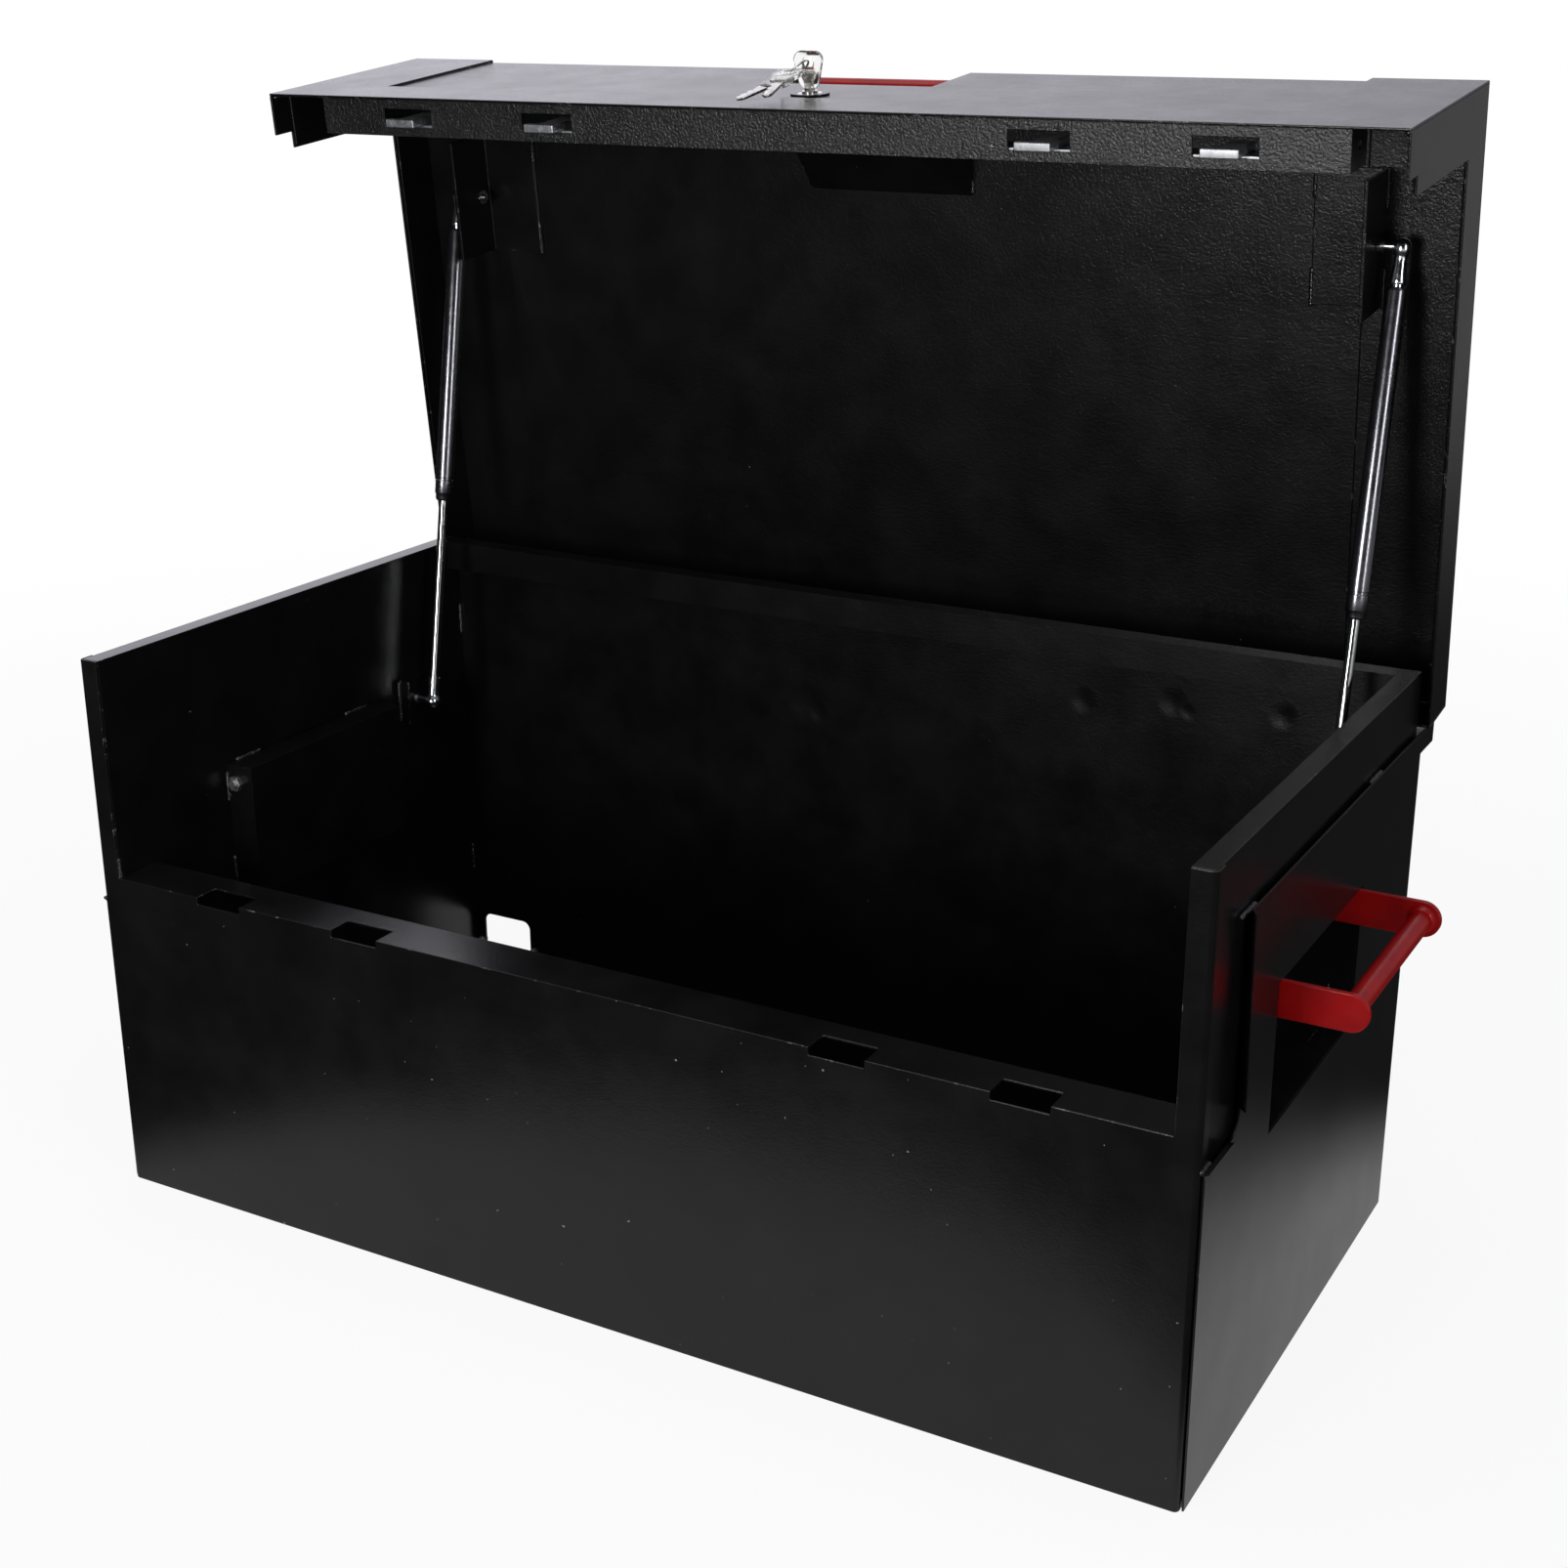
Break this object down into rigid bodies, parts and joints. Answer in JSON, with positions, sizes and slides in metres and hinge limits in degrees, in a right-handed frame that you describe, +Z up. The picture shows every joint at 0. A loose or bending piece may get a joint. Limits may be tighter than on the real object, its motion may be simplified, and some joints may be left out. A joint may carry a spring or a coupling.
{
  "type": "steel tool trunk",
  "caption": "Black folded-steel tool trunk with a deep propped lid, gas struts, hook latches worked by a key and red drop handles at the ends.",
  "frame": {"origin": "on the floor, under the middle of the trunk's base", "axes": "+X to the right seen from the front, +Y from the front to the back, +Z up"},
  "size_m": [1.036, 0.5138, 0.8897],
  "materials": {
    "body_paint": "black textured powder coat",
    "lid_paint": "black textured powder coat",
    "hinge_paint": "black powder coat over a rolled hinge",
    "red_paint": "gloss red powder coat",
    "fastener_steel": "zinc plated, with stray paint",
    "zinc_plate": "bright zinc plate",
    "key_steel": "nickel plate",
    "lock_black": "satin black",
    "clear_plastic": "clear moulded plastic",
    "strut_black": "gloss black enamel",
    "strut_chrome": "hard chrome",
    "socket_zinc": "bright zinc plate"
  },
  "bodies": {
    "trunk": {"front_panel": "body_paint", "floor_panel": "body_paint", "rear_panel": "body_paint", "rear_ledge": "body_paint", "cable_hole_bolts": "fastener_steel", "hinge_body_leaf": "hinge_paint", "hinge_pin_rod": "hinge_paint", "side_frame_left": "body_paint", "side_skin_left": "body_paint", "recess_box_left": "body_paint", "strut_foot_bracket_left": "body_paint", "strut_foot_stud_left": "socket_zinc", "handle_pivot_left": "fastener_steel", "handle_nuts_left": "fastener_steel", "side_frame_right": "body_paint", "side_skin_right": "body_paint", "recess_box_right": "body_paint", "strut_foot_bracket_right": "body_paint", "strut_foot_stud_right": "socket_zinc", "handle_pivot_right": "fastener_steel", "handle_nuts_right": "fastener_steel"},
    "lid": {"lid_shell": "lid_paint", "pull_pocket": "lid_paint", "pull_bar_rod": "red_paint", "lock_channel": "lid_paint", "lock_housing": "key_steel", "lock_escutcheon": "lock_black", "hinge_lid_leaf": "hinge_paint", "lid_side_left": "lid_paint", "lid_doubler_left": "lid_paint", "strut_head_bracket_left": "lid_paint", "strut_head_nut_left": "socket_zinc", "lid_side_right": "lid_paint", "lid_doubler_right": "lid_paint", "strut_head_bracket_right": "lid_paint", "strut_head_nut_right": "socket_zinc"},
    "key": {"lock_plug": "key_steel", "lock_cam": "key_steel", "key_blade": "key_steel", "key_bow": "clear_plastic"},
    "spare_keys": {"key_ring": "key_steel", "spare_key_bows": "clear_plastic", "spare_key_blades": "key_steel"},
    "lock_bar": {"lock_slide_bar": "zinc_plate", "lock_hooks": "zinc_plate", "lock_drive_strap": "zinc_plate"},
    "strut_rod_left": {"strut_rod_left": "strut_chrome", "strut_foot_socket_left": "socket_zinc"},
    "strut_cylinder_left": {"strut_cylinder_left": "strut_black", "strut_head_socket_left": "socket_zinc", "strut_head_stud_left": "socket_zinc"},
    "handle_left": {"handle_arms_left": "red_paint", "handle_bar_left": "red_paint"},
    "strut_rod_right": {"strut_rod_right": "strut_chrome", "strut_foot_socket_right": "socket_zinc"},
    "strut_cylinder_right": {"strut_cylinder_right": "strut_black", "strut_head_socket_right": "socket_zinc", "strut_head_stud_right": "socket_zinc"},
    "handle_right": {"handle_arms_right": "red_paint", "handle_bar_right": "red_paint"}
  },
  "joints": [
    {"name": "lid_hinge", "type": "hinge", "parent": "trunk", "child": "lid", "pos_m": [0, 0.234, 0.4025], "axis": [1, 0, 0], "range_deg": [0, 84], "stiffness_Nm_per_rad": 8, "springref_deg": -71.62},
    {"name": "key_turn", "type": "hinge", "parent": "lid", "child": "key", "pos_m": [-0.0055, 0.11622, 0.85819], "axis": [0, 0.1045, -0.9945], "range_deg": [0, 90]},
    {"name": "lock_bar_slide", "type": "slide", "parent": "lid", "child": "lock_bar", "axis": [-1, 0, 0], "range_m": [0, 0.015]},
    {"name": "spare_key_swing", "type": "hinge", "parent": "key", "child": "spare_keys", "pos_m": [-0.01297, 0.10619, 0.87325], "axis": [-0.7071, -0.0739, 0.7032], "range_deg": [0, 50]},
    {"name": "strut_left_turn", "type": "hinge", "parent": "trunk", "child": "strut_rod_left", "pos_m": [-0.4145, 0.147, 0.317], "axis": [1, 0, 0], "range_deg": [0, 77.08]},
    {"name": "strut_left_slide", "type": "slide", "parent": "strut_rod_left", "child": "strut_cylinder_left", "axis": [0, 0.1721, 0.9851], "range_m": [-0.15731, 0]},
    {"name": "handle_left_drop", "type": "hinge", "parent": "trunk", "child": "handle_left", "pos_m": [-0.4285, 0, 0.312], "axis": [0, -1, 0], "range_deg": [0, 90]},
    {"name": "strut_right_turn", "type": "hinge", "parent": "trunk", "child": "strut_rod_right", "pos_m": [0.4145, 0.147, 0.317], "axis": [1, 0, 0], "range_deg": [0, 77.08]},
    {"name": "strut_right_slide", "type": "slide", "parent": "strut_rod_right", "child": "strut_cylinder_right", "axis": [0, 0.1721, 0.9851], "range_m": [-0.15731, 0]},
    {"name": "handle_right_drop", "type": "hinge", "parent": "trunk", "child": "handle_right", "pos_m": [0.4285, 0, 0.312], "axis": [0, 1, 0], "range_deg": [0, 90]}
  ],
  "couplings": [
    {"joint": "key_turn", "follows": "lock_bar_slide", "rad_per_m": 104.72},
    {"joint": "strut_left_turn", "follows": "lid_hinge", "ratio": 0.91766},
    {"joint": "strut_left_slide", "follows": "lid_hinge", "m_per_rad": -0.1073},
    {"joint": "strut_right_turn", "follows": "lid_hinge", "ratio": 0.91766},
    {"joint": "strut_right_slide", "follows": "lid_hinge", "m_per_rad": -0.1073}
  ]
}
